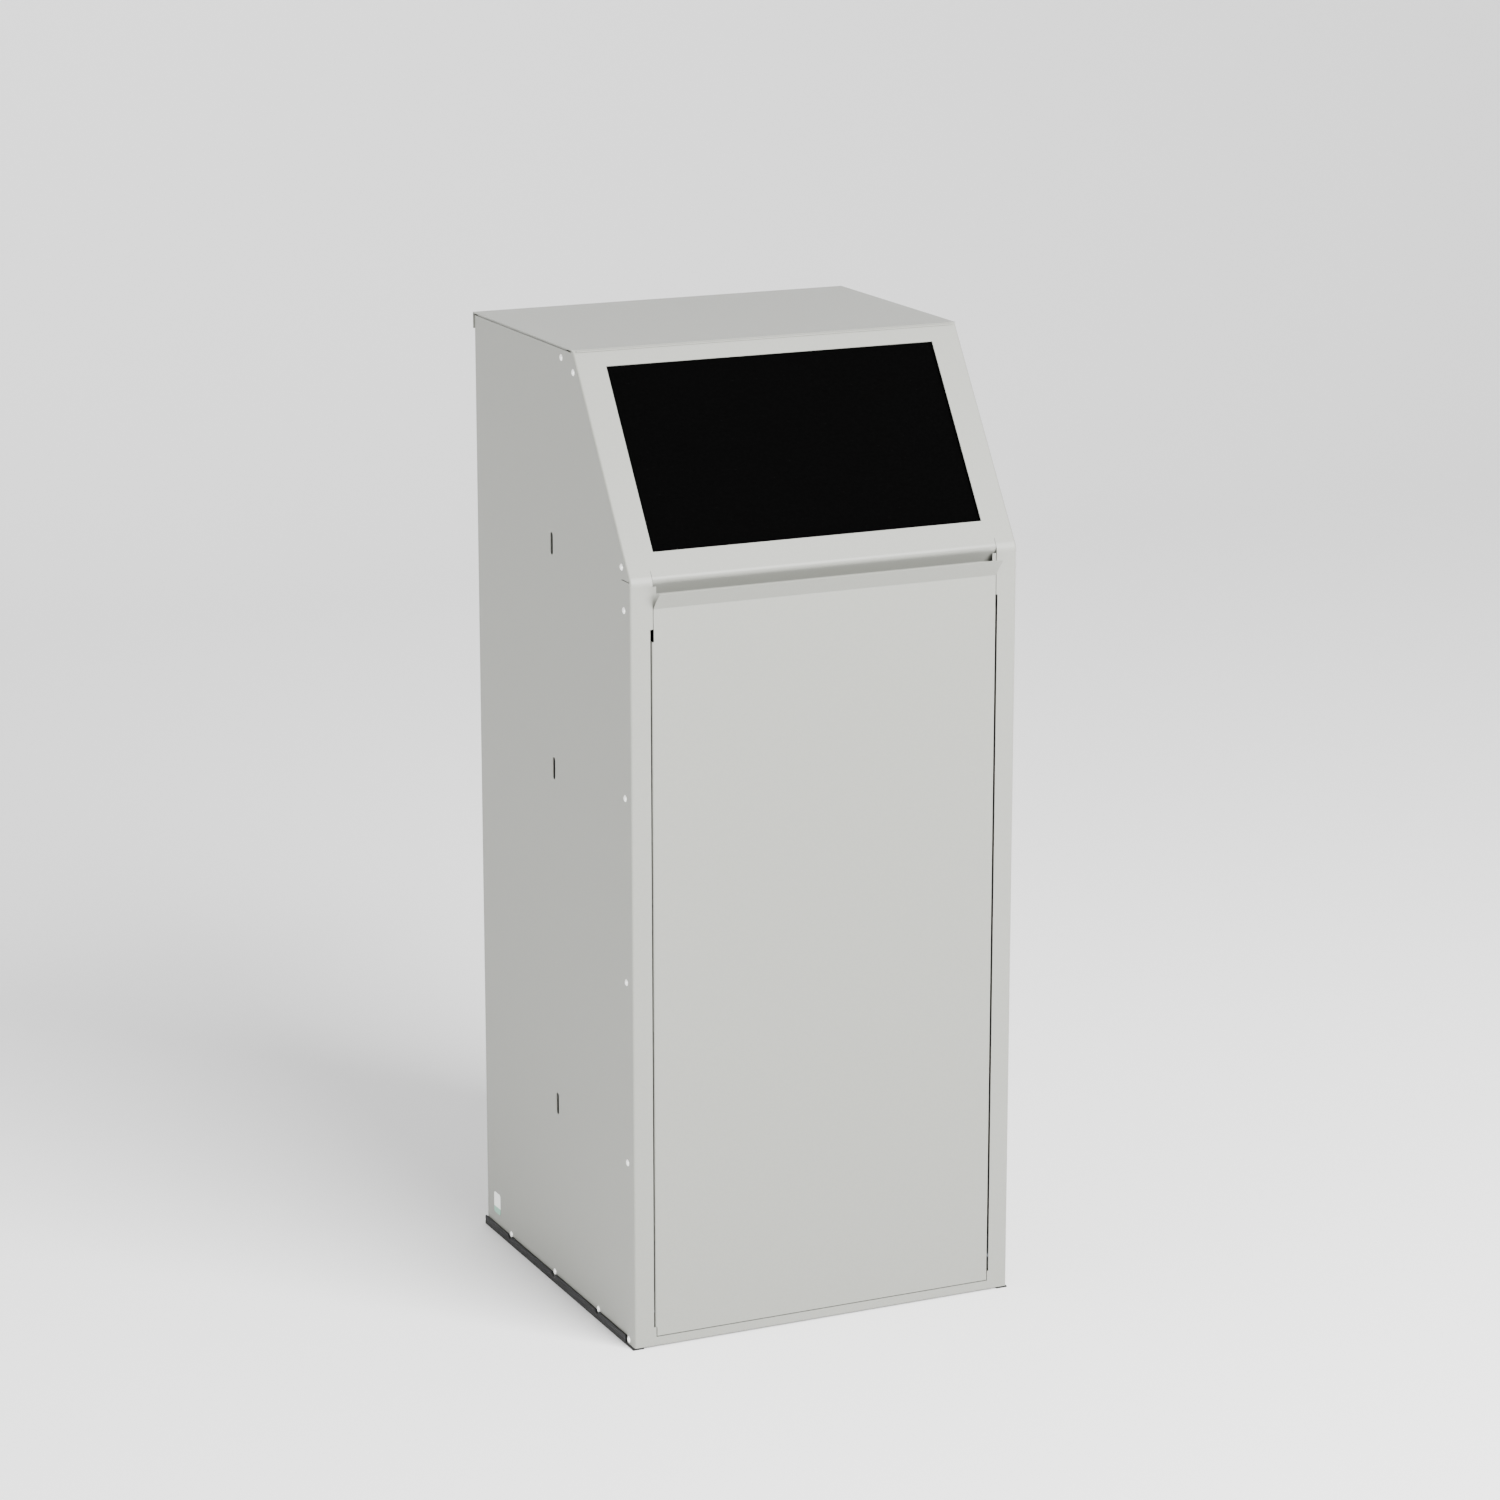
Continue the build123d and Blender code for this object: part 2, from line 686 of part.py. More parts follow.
def tub(half_x, y, z, corner):
    """A box with rounded upright corners."""
    solid = block((-half_x, half_x), y, z)
    return fillet(solid.edges().filter_by(Axis.Z), corner)


def inner_bin():
    """Galvanised bin with a rolled rim."""
    body = tub(bin_width / 2, (bin_front, bin_back), (pan_top, bin_top), bin_corner)
    rim = tub(
        bin_width / 2 + rim_out, (bin_front - rim_out, bin_back + rim_out),
        (bin_top - rim_height, bin_top), bin_corner + rim_out,
    )
    levels = (bin_top, bin_top - rim_height)
    edges = [e for e in rim.edges() if min(abs(e.center().Z - z) for z in levels) < near]
    rim = fillet(edges, rim_round)
    hollow = tub(
        bin_width / 2 - bin_sheet, (bin_front + bin_sheet, bin_back - bin_sheet),
        (pan_top + bin_sheet, bin_top + past), bin_corner - bin_sheet,
    )
    return body + rim - hollow


def bin_ears():
    """Four ears on the bin's side walls that carry the handles."""
    ears = []
    for middle in (-ear_spread, ear_spread):
        y = bin_mid + middle
        ear = block(
            (bin_width / 2, bin_width / 2 + ear_reach), (y - ear_sheet / 2, y + ear_sheet / 2),
            (handle_z - ear_height / 2, handle_z + ear_height / 2),
        )
        outer = ear.edges().filter_by(Axis.Y).group_by(Axis.X)[-1]
        ear = fillet(outer, ear_round)
        ear -= rod_y(handle_x, handle_z, wire_radius + running_gap, (y - past, y + past))
        ears += both_sides(ear)
    return ears


def bin_handle():
    """The right-hand drop handle: one bent wire, its ends through the ears."""
    reach = handle_span / 2
    tip = ear_spread - ear_sheet / 2 - handle_end
    low = handle_z - handle_drop
    route = [
        (handle_x, bin_mid - tip, handle_z),
        (handle_x, bin_mid - reach, handle_z),
        (handle_x, bin_mid - reach, low),
        (handle_x, bin_mid + reach, low),
        (handle_x, bin_mid + reach, handle_z),
        (handle_x, bin_mid + tip, handle_z),
    ]
    bends = [ear_bend, handle_bend, handle_bend, ear_bend]
    path = FilletPolyline(*route, radius=bends)
    section = Plane(origin=route[0], z_dir=(0, -1, 0)) * Circle(wire_radius)
    return sweep(section, path=path)


def bin_guide():
    """Right-hand angle on the pan that keeps the bin in line."""
    inside = bin_width / 2 + guide_gap
    y = (bin_front + guide_short, bin_back - guide_short)
    upright = block((inside, inside + sheet), y, (pan_top, pan_top + guide_height))
    foot = block((inside, inside + guide_foot), y, (pan_top, pan_top + sheet))
    return upright + foot


def bin_rear_stop():
    """Angle on the pan behind the bin."""
    inside = bin_back + guide_gap
    x = (-bin_width / 4, bin_width / 4)
    upright = block(x, (inside, inside + sheet), (pan_top, pan_top + guide_height))
    foot = block(x, (inside, inside + guide_foot), (pan_top, pan_top + sheet))
    return upright + foot


def flap_plate():
    """The black flap: a tray with a curled upper edge around its rod."""
    edge = (-flap_half, flap_half)
    plate_n, side_n = (flap_face, flap_face + flap_sheet), (flap_face, flap_face + flap_return)
    face = slope_block(edge, (flap_low, rod_s - flap_face_end), plate_n)
    neck = slope_block((-curl_half, curl_half), (rod_s - neck_start, rod_s), plate_n)
    returns = slope_block(edge, (flap_low, flap_low + flap_sheet), side_n)
    side = slope_block((flap_half - flap_sheet, flap_half), (flap_low, rod_s - wing_end), side_n)
    plate = face + neck + returns
    for wing in both_sides(side):
        plate += wing
    y, z = on_slope(rod_s, rod_n)
    plate += rod_x(y, z, curl_radius, (-curl_half, curl_half))
    return plate - rod_x(y, z, rod_radius, (-curl_half - past, curl_half + past))


def flap_rod():
    """Steel rod that turns with the flap."""
    y, z = on_slope(rod_s, rod_n)
    reach = bracket_x + bracket_sheet + rod_past_bracket
    rod = rod_x(y, z, rod_radius, (-reach, reach))
    return chamfer(rod.edges().filter_by(GeomType.CIRCLE), edge_break)


def flap_bracket():
    """Right-hand bracket: a foot under the slope and an ear for the bush."""
    s = (rod_s - bracket_below, rod_s + bracket_reach)
    ear = slope_block((bracket_x, bracket_x + bracket_sheet), s, (sheet, rod_n + bracket_reach))
    foot = slope_block((bracket_x, bracket_x + bracket_foot), s, (sheet, sheet + bracket_sheet))
    y, z = on_slope(rod_s, rod_n)
    return ear + foot - rod_x(y, z, bush_body, (bracket_x - past, bracket_x + past))


def flap_bush():
    """Right-hand flanged nylon bush."""
    y, z = on_slope(rod_s, rod_n)
    bush = rod_x(y, z, bush_body, (bracket_x, bracket_x + bracket_sheet))
    bush += rod_x(y, z, bush_flange, (bracket_x - bush_flange_thick, bracket_x))
    return bush - rod_x(y, z, rod_radius + running_gap, (bracket_x - past, bracket_x + past))


def rod_clip():
    """Right-hand retaining clip on the rod's end."""
    y, z = on_slope(rod_s, rod_n)
    start = bracket_x + bracket_sheet + clip_gap
    ring = rod_x(y, z, clip_radius, (start, start + clip_thick))
    x = (start - past, start + past)
    ring -= rod_x(y, z, rod_radius, x)
    mouth = slope_block(x, (rod_s - clip_radius - past, rod_s), (rod_n - clip_mouth, rod_n + clip_mouth))
    return ring - mouth


def flap_spring():
    """Right-hand torsion spring round the rod: one leg on the flap's back, one on the frame."""
    # lean of the legs, so that the lower one ends on the back of the flap's plate
    back_n = flap_face + flap_sheet + spring_wire + spring_touch - rod_n
    span = math.hypot(spring_radius, spring_leg)
    lean = math.acos(back_n / span) - math.atan2(spring_leg, spring_radius)
    out_y = math.cos(lean) * up_z - math.sin(lean) * up_y
    out_z = -math.cos(lean) * up_y - math.sin(lean) * up_z
    helix = Helix(pitch=spring_pitch, height=spring_turns * spring_pitch, radius=spring_radius)
    coil = sweep(Plane(origin=helix @ 0, z_dir=helix % 0) * Circle(spring_wire), path=helix)
    for at, reach in ((0, -spring_leg), (1, spring_fixed_leg)):
        root = helix @ at
        coil += bar(root, root + (helix % at) * reach, spring_wire) + Pos(*root) * Sphere(spring_wire)
    y, z = on_slope(rod_s, rod_n)
    turn = Rot(math.degrees(math.atan2(out_y, -out_z)), 0, 0)
    return Pos(curl_half + spring_gap, y, z) * turn * Rot(0, 90, 0) * coil


def flap_buffers():
    """Rubber pads on the flap's face, out of sight beside the window."""
    pads = []
    x_low = window_width / 2 + buffer_beside
    x = (x_low, x_low + buffer_width)
    for s in (window_low + buffer_low, window_high - buffer_high):
        pads += both_sides(slope_block(x, (s, s + buffer_length), (sheet + buffer_free, flap_face)))
    return pads


def rear_rivets():
    """Rivets through the top cover's rear flange."""
    return [Pos(x, back, rear_z) * Rot(0, 0, 90) * rivet(2 * sheet) for x in rear_rivet_columns]


def blank_label():
    """Small unprinted label low on the left wall."""
    plate = block(
        (-wall - label_thick, -wall), (label_y - label_width / 2, label_y + label_width / 2),
        (label_z - label_height / 2, label_z + label_height / 2),
    )
    return fillet(plate.edges().filter_by(Axis.X), label_round)


def left_right(name, shape):
    """Two nodes: the right-hand shape and its mirror image."""
    group = shape if isinstance(shape, list) else [shape]
    return {f"{name}_right": group, f"{name}_left": [mirror(item, Plane.YZ) for item in group]}


nodes = {
    "front_panel": front_panel() + top_panel_flange(),
    "body_wrap": body_wrap(),
    "top_cover": top_cover(),
    "floor_pan": floor_pan(),
    "sill_rail": sill_rail(),
    "catch_rail": catch_rail(),
    "corner_plates": corner_plates(),
    "door_panel": door_panel(),
    "door_stiffeners": door_stiffeners(),
    "door_buffers": both_sides(door_buffer()),
    "flap_plate": flap_plate(),
    "flap_rod": flap_rod(),
    "flap_buffers": flap_buffers(),
    "inner_bin": inner_bin(),
    "bin_ears": bin_ears(),
    "bin_rear_stop": bin_rear_stop(),
    "rear_rivets": rear_rivets(),
    "blank_label": blank_label(),
    **left_right("pivot_bracket", pivot_bracket()),
    **left_right("door_pin", door_pin()),
    **left_right("catch_housing", catch_housing()),
    **left_right("catch_magnet", catch_magnet()),
    **left_right("catch_screws", catch_screws()),
    **left_right("edge_trim", edge_trim()),
    **left_right("flap_bracket", flap_bracket()),
    **left_right("flap_bush", flap_bush()),
    **left_right("flap_rod_clip", rod_clip()),
    **left_right("flap_spring", flap_spring()),
    **left_right("bin_handle", bin_handle()),
    **left_right("bin_guide", bin_guide()),
    **left_right("front_rivets", side_rivets(half, 2 * sheet, front_places + slope_places)),
    **left_right("base_rivets", side_rivets(wall, 2 * sheet, base_places)),
    **left_right("top_rivets", side_rivets(wall, 2 * sheet, top_places)),
}

os.makedirs("parts", exist_ok=True)
for name, shape in nodes.items():
    solids = shape if isinstance(shape, list) else [shape]
    whole = solids[0] if len(solids) == 1 else Compound(children=solids)
    export_step(whole, f"parts/{name}.step")
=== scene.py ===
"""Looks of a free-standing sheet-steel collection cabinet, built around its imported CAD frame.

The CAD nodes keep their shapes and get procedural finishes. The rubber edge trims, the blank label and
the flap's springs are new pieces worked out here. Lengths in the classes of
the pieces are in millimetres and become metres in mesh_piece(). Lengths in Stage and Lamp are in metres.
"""

import json
import logging
import math
from dataclasses import dataclass, field
from enum import Enum

import bmesh
import bpy
import numpy as np
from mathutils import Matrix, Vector


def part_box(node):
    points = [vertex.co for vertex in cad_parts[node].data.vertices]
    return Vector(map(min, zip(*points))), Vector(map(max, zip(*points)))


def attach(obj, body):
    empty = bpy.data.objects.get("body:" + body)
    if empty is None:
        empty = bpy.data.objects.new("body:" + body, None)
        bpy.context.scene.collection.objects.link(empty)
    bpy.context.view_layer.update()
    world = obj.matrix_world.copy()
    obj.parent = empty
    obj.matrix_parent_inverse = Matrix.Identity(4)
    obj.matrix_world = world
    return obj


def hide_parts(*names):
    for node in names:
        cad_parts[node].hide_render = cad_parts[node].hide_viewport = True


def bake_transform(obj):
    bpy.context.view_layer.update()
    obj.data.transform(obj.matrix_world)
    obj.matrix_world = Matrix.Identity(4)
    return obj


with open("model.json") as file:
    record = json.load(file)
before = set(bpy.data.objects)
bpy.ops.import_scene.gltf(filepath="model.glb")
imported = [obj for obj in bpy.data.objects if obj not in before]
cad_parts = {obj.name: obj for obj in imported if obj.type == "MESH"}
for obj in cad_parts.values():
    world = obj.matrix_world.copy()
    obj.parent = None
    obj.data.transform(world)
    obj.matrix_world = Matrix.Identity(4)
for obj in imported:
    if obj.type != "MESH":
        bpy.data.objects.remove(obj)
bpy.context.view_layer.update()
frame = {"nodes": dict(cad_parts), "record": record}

MM = 0.001
MERGE = 1e-6                   # points of a new piece that are closer than this become one
BRUSH_STRETCH = 0.04           # a brushed pattern's scale along Z, as a share of that across
RAMP_ENDS = (0.3, 0.7)         # where a pattern leaves its first colour and reaches its second
BUMP_STRENGTH = 0.6
log = logging.getLogger("cabinet")


def srgb(code: str, alpha: float = 1.0) -> tuple[float, float, float, float]:
    """Turns an sRGB hex colour into linear light.

    Args:
        code: Six hex digits, red first.
        alpha: Opacity.

    Returns:
        Linear red, green, blue and alpha.
    """
    parts = np.array([int(code[i:i + 2], 16) for i in (0, 2, 4)]) / 255
    linear = np.where(parts <= 0.04045, parts / 12.92, ((parts + 0.055) / 1.055) ** 2.4)
    return (*linear.tolist(), alpha)


def add_node(tree: bpy.types.NodeTree, kind: str, settings: dict | None = None, inputs: dict | None = None):
    """Adds a shader node.

    Args:
        tree: The material's node tree.
        kind: Blender's node type name.
        settings: Attribute name to value.
        inputs: Socket name to a value, or to the output socket that feeds it.

    Returns:
        The new node.
    """
    made = tree.nodes.new(kind)
    for name, value in (settings or {}).items():
        setattr(made, name, value)
    for name, value in (inputs or {}).items():
        if isinstance(value, bpy.types.NodeSocket):
            tree.links.new(value, made.inputs[name])
        else:
            made.inputs[name].default_value = value
    return made


class Grain(Enum):
    """How a surface was made, and so what pattern it carries."""

    PEEL = "powder coat's orange peel"
    BRUSHED = "drawn or ground along one axis"
    SPANGLE = "hot-dip zinc crystals"
    MOULDED = "fine mould texture"


@dataclass(frozen=True)
class Finish:
    """One material: its colours, gloss and the pattern left by how it was made.

    Attributes:
        name: The material's common name.
        slot: The record's material slot it dresses.
        colour: Main sRGB colour.
        second: sRGB colour that the pattern wanders to.
        metallic: 0 for paint, rubber and plastic, 1 for bare metal.
        roughness: Middle roughness.
        spread: How far the pattern moves the roughness either way.
        grain: Kind of pattern.
        grain_mm: Size of one feature of the pattern.
        relief_mm: Depth of the pattern's bump.
        specular: Specular level, lower on a surface that swallows light.
    """

    name: str
    slot: str
    colour: str
    second: str
    metallic: float
    roughness: float
    spread: float
    grain: Grain
    grain_mm: float
    relief_mm: float
    specular: float = 0.5

    def pattern(self, tree: bpy.types.NodeTree) -> bpy.types.NodeSocket:
        """Builds the pattern, from 0 to 1, on the piece's Object coordinates.

        Args:
            tree: The material's node tree.

        Returns:
            The socket that carries the pattern.
        """
        place = add_node(tree, "ShaderNodeTexCoord").outputs["Object"]
        squeeze = (1.0, 1.0, BRUSH_STRETCH) if self.grain is Grain.BRUSHED else (1.0, 1.0, 1.0)
        scale = tuple(axis / (self.grain_mm * MM) for axis in squeeze)
        mapped = add_node(tree, "ShaderNodeMapping", {}, {"Vector": place, "Scale": scale}).outputs["Vector"]
        if self.grain is Grain.SPANGLE:
            cells = add_node(tree, "ShaderNodeTexVoronoi", {}, {"Vector": mapped, "Scale": 1.0})
            shade = add_node(tree, "ShaderNodeSeparateColor", {}, {"Color": cells.outputs["Color"]})
            return shade.outputs["Red"]
        detail = {Grain.PEEL: 2.0, Grain.BRUSHED: 4.0, Grain.MOULDED: 3.0}[self.grain]
        noise = add_node(tree, "ShaderNodeTexNoise", {}, {"Vector": mapped, "Scale": 1.0, "Detail": detail})
        return noise.outputs["Fac"]

    def build(self) -> bpy.types.Material:
        """Makes the Blender material.

        Returns:
            The material, named for what the real one is.
        """
        made = bpy.data.materials.new(self.name)
        made.use_nodes = True
        tree = made.node_tree
        tree.nodes.clear()
        pattern = self.pattern(tree)
        ramp = add_node(tree, "ShaderNodeValToRGB", {}, {"Fac": pattern})
        for element, position, colour in zip(ramp.color_ramp.elements, RAMP_ENDS, (self.colour, self.second)):
            element.position = position
            element.color = srgb(colour)
        low, high = self.roughness - self.spread, self.roughness + self.spread
        gloss = add_node(tree, "ShaderNodeMapRange", {}, {"Value": pattern, "To Min": low, "To Max": high})
        bump = add_node(
            tree, "ShaderNodeBump", {},
            {"Height": pattern, "Strength": BUMP_STRENGTH, "Distance": self.relief_mm * MM},
        )
        shader = add_node(
            tree, "ShaderNodeBsdfPrincipled", {},
            {
                "Base Color": ramp.outputs["Color"], "Metallic": self.metallic,
                "Roughness": gloss.outputs["Result"], "Normal": bump.outputs["Normal"],
                "Specular IOR Level": self.specular,
            },
        )
        add_node(tree, "ShaderNodeOutputMaterial", {}, {"Surface": shader.outputs["BSDF"]})
        return made


# Polyester powder coat on steel: soft sheen, a faint orange peel drawn a little coarser than real.
POWDER = Finish("grey_powder_coat", "powder", "7f807a", "81827c", 0.0, 0.42, 0.03, Grain.PEEL, 2.2, 0.02)
# The same coat in black, on the flap.
BLACK = Finish("black_powder_coat", "black", "030303", "040404", 0.0, 0.85, 0.03, Grain.PEEL, 2.2, 0.02, 0.0)
# Bright zinc plate on turned or pressed small parts: clean, slightly streaked metal.
ZINC = Finish("bright_zinc_plate", "zinc", "b9bdc2", "c8cbcf", 1.0, 0.32, 0.06, Grain.BRUSHED, 0.8, 0.01)
# Hot-dip galvanised sheet: flat crystals a dozen millimetres across, each a slightly different grey.
GALVANISED = Finish(
    "galvanised_sheet", "galvanised", "9fa4a8", "bcc1c4", 0.9, 0.42, 0.08, Grain.SPANGLE, 13.0, 0.01
)
# EPDM rubber, extruded: near black and matt.
RUBBER = Finish("epdm_rubber", "rubber", "101010", "151515", 0.0, 0.62, 0.05, Grain.MOULDED, 1.5, 0.03, 0.3)
# Black nylon, injection moulded: fine texture, low sheen.
NYLON = Finish("moulded_nylon", "nylon", "1d1d1e", "232324", 0.0, 0.5, 0.05, Grain.MOULDED, 1.2, 0.02)
# Ferrite magnet between ground steel plates.
MAGNET = Finish("ground_steel", "magnet", "5c5d60", "6b6c6f", 0.8, 0.45, 0.05, Grain.BRUSHED, 0.8, 0.01)
# Drawn spring wire and pressed clips.
SPRING = Finish("spring_wire", "spring_steel", "8b8d90", "9a9c9f", 1.0, 0.35, 0.05, Grain.BRUSHED, 0.6, 0.01)
# Blind rivets' heads: soft aluminium, coloured a dead white with little metal so they stand brighter than the
# coat round it; the white is partly painted highlight, standing in for the glint on each dome.
RIVET_ALUMINIUM_PAINTED_GLINT = Finish(
    "rivet_aluminium_painted_glint", "aluminium", "f6f6f4", "fcfcfa", 0.2, 0.3, 0.05, Grain.MOULDED, 0.8, 0.01
)
FINISHES = (POWDER, BLACK, ZINC, GALVANISED, RUBBER, NYLON, MAGNET, SPRING, RIVET_ALUMINIUM_PAINTED_GLINT)


@dataclass(frozen=True)
class LabelFinish:
    """Unprinted vinyl label: white, with one plain green band across its lower part.

    Attributes:
        slot: The record's material slot.
        ground: sRGB colour of the label.
        band: sRGB colour of the band.
        band_share: Height of the band as a share of the label's height.
        roughness: Roughness of the vinyl.
    """

    slot: str = "label"
    ground: str = "eceeea"
    band: str = "7fae9a"
    band_share: float = 0.3
    roughness: float = 0.3

    def build(self) -> bpy.types.Material:
        """Makes the material, which reads the label's own UV map.

        Returns:
            The Blender material.
        """
        made = bpy.data.materials.new("label_vinyl")
        made.use_nodes = True
        tree = made.node_tree
        tree.nodes.clear()
        place = add_node(tree, "ShaderNodeTexCoord").outputs["UV"]
        split = add_node(tree, "ShaderNodeSeparateXYZ", {}, {"Vector": place})
        ramp = add_node(tree, "ShaderNodeValToRGB", {}, {"Fac": split.outputs["Y"]})
        ramp.color_ramp.interpolation = "CONSTANT"
        ramp.color_ramp.elements[0].color = srgb(self.band)
        ramp.color_ramp.elements[1].position = self.band_share
        ramp.color_ramp.elements[1].color = srgb(self.ground)
        shader = add_node(
            tree, "ShaderNodeBsdfPrincipled", {},
            {"Base Color": ramp.outputs["Color"], "Roughness": self.roughness},
        )
        add_node(tree, "ShaderNodeOutputMaterial", {}, {"Surface": shader.outputs["BSDF"]})
        return made


def mesh_piece(name: str, points: np.ndarray, faces: list, smooth: bool = True) -> bpy.types.Object:
    """Makes an object at the origin from points in millimetres.

    Args:
        name: Piece name.
        points: One row of x, y, z for each vertex.
        faces: Tuples of vertex numbers.
        smooth: Whether its faces are shaded smooth.

    Returns:
        The linked object, its faces turned outwards.
    """
    data = bpy.data.meshes.new(name)
    data.from_pydata((np.asarray(points) * MM).tolist(), [], faces)
    work = bmesh.new()
    work.from_mesh(data)
    bmesh.ops.remove_doubles(work, verts=work.verts, dist=MERGE)
    bmesh.ops.recalc_face_normals(work, faces=work.faces)
    work.to_mesh(data)
    work.free()
    data.polygons.foreach_set("use_smooth", np.full(len(data.polygons), smooth))
    made = bpy.data.objects.new(name, data)
    bpy.context.scene.collection.objects.link(made)
    return made


def loft(rings: np.ndarray) -> tuple[np.ndarray, list]:
    """Joins rings of points into a closed skin.

    Quad i of ring j spans points i and i+1 of rings j and j+1, counted round the ring, and one face
    closes each end.

    Args:
        rings: Array of stations by points by 3.

    Returns:
        Points and faces.
    """
    stations, around, _ = rings.shape
    low = np.arange(stations - 1)[:, None] * around
    here, after = np.arange(around)[None, :], (np.arange(around)[None, :] + 1) % around
    quads = np.stack([low + here, low + after, low + around + after, low + around + here], -1)
    caps = [tuple(range(around))[::-1], tuple((stations - 1) * around + np.arange(around))]
    return rings.reshape(-1, 3), [tuple(q) for q in quads.reshape(-1, 4).tolist()] + caps


def node_points(name: str) -> np.ndarray:
    """Every vertex of a CAD node, in millimetres, one row of x, y, z for each."""
    vertices = frame["nodes"][name].data.vertices
    flat = np.empty(len(vertices) * 3, np.float32)
    vertices.foreach_get("co", flat)
    return flat.reshape(-1, 3) / MM


def finish_piece(
    piece: bpy.types.Object, material: bpy.types.Material, body: str, slot: str, *nodes: str
) -> None:
    """Dresses a new piece, rides it on its body and hides the CAD nodes it stands for.

    Args:
        piece: The new object.
        material: Its Blender material.
        body: CAD body it moves with.
        slot: The record's material slot; not used.
        nodes: CAD nodes it replaces.
    """
    piece.data.materials.append(material)
    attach(piece, body)
    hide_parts(*nodes)
    log.info("%s: %d faces, on %s", piece.name, len(piece.data.polygons), body)


def node_box(name: str) -> tuple[np.ndarray, np.ndarray]:
    """Lowest and highest corner of a CAD node, in millimetres."""
    low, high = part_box(name)
    return np.array(low) / MM, np.array(high) / MM


@dataclass
class CadDress:
    """Gives every shown CAD node the material of its slot.

    Attributes:
        materials: Slot name to Blender material.
    """

    materials: dict[str, bpy.types.Material] = field(default_factory=dict)

    def build(self) -> None:
        """Assigns the materials, node by node."""
        for entry in frame["record"]["subparts"]:
            node = frame["nodes"][entry["node"]]
            if entry["material_slot"] not in self.materials:
                continue
            node.data.materials.clear()
            node.data.materials.append(self.materials[entry["material_slot"]])
            log.info("%s: %s", node.name, entry["material_slot"])


@dataclass
class EdgeTrim:
    """Rubber strip under one side wall, with a rounded leg up its outside.

    Attributes:
        side: "left" or "right".
        leg: Thickness of the leg.
        web: Thickness of the foot under the wall.
        lead: Length at the front that has a foot and no leg.
        groove: Depth of the groove along the leg.
        groove_at: Height of the groove, as a share of the leg's height.
        groove_width: How fast the groove fades, as a share of the leg's height.
        rivet_clear: Radius of the dips round the rivet heads.
        rivet_height: Height of the rivets' centres.
        rivet_apart: Two vertices further apart than this belong to different rivets.
        stations: Steps along the strip.
        face_steps: Points up the leg's outer face.
        crown_steps: Points over the leg's round top, its two ends included.
    """

    side: str
    leg: float = 2.4
    web: float = 2.0
    lead: float = 19.5
    groove: float = 0.35
    groove_at: float = 0.55
    groove_width: float = 0.09
    rivet_clear: float = 4.2
    rivet_height: float = 10.0
    rivet_apart: float = 20.0
    stations: int = 420
    face_steps: int = 13
    crown_steps: int = 9

    def rivets(self) -> np.ndarray:
        """Places of the rivets along the wall, from the CAD node's vertices.

        Returns:
            Y of each rivet, in millimetres.
        """
        along = np.sort(node_points(f"base_rivets_{self.side}")[:, 1])
        groups = np.split(along, np.flatnonzero(np.diff(along) > self.rivet_apart) + 1)
        return np.array([(group[0] + group[-1]) / 2 for group in groups])

    def rings(self) -> np.ndarray:
        """Works out the strip's cross-sections.

        Each ring runs up the leg's outer face, over its round top, down against the wall and round the
        foot. The outer face is hollowed by g exp(-((h - h0) / w)^2), where h is the share of the leg's
        height, g the groove's depth, h0 groove_at and w groove_width. The top dips round each rivet along
        a circle about the rivet's centre.

        Returns:
            Array of stations by points by 3.
        """
        low, high = node_box(f"edge_trim_{self.side}")
        sign = 1 if self.side == "right" else -1
        outer = max(abs(low[0]), abs(high[0]))
        inner = min(abs(low[0]), abs(high[0]))
        wall = outer - self.leg
        along = np.linspace(low[1], high[1], self.stations)
        away = np.abs(along[:, None] - self.rivets()[None, :]).min(1)
        dip = self.rivet_height - np.sqrt(np.clip(self.rivet_clear ** 2 - away ** 2, 0, None))
        top = np.where(away < self.rivet_clear, np.minimum(high[2], dip), high[2])
        top = np.where(along < low[1] + self.lead, self.web, top)
        rise = np.linspace(0, 1, self.face_steps)
        height = rise[None, :] * (top[:, None] - self.leg / 2)
        hollow = self.groove * np.exp(-((rise - self.groove_at) / self.groove_width) ** 2)
        face_x = np.broadcast_to(outer - hollow, height.shape)
        turn = np.linspace(0, math.pi, self.crown_steps)[1:-1]
        crown_x = np.broadcast_to(wall + self.leg / 2 * (1 + np.cos(turn)), (len(along), len(turn)))
        crown_z = top[:, None] - self.leg / 2 * (1 - np.sin(turn)[None, :])
        foot_x = np.array([wall, wall, inner, inner])
        end_x = np.broadcast_to(foot_x, (len(along), len(foot_x)))
        web = np.full_like(top, self.web)
        end_z = np.stack([top - self.leg / 2, web, web, np.zeros_like(top)], -1)
        x = np.concatenate([face_x, crown_x, end_x], 1)
        z = np.clip(np.concatenate([height, crown_z, end_z], 1), 0, None)
        y = np.broadcast_to(along[:, None], x.shape)
        return np.stack([sign * x, y, z], -1)

    def build(self, material: bpy.types.Material) -> None:
        """Makes the strip and puts it in place of its CAD node."""
        piece = mesh_piece(f"trim_{self.side}", *loft(self.rings()))
        finish_piece(piece, material, "cabinet", "rubber", f"edge_trim_{self.side}")


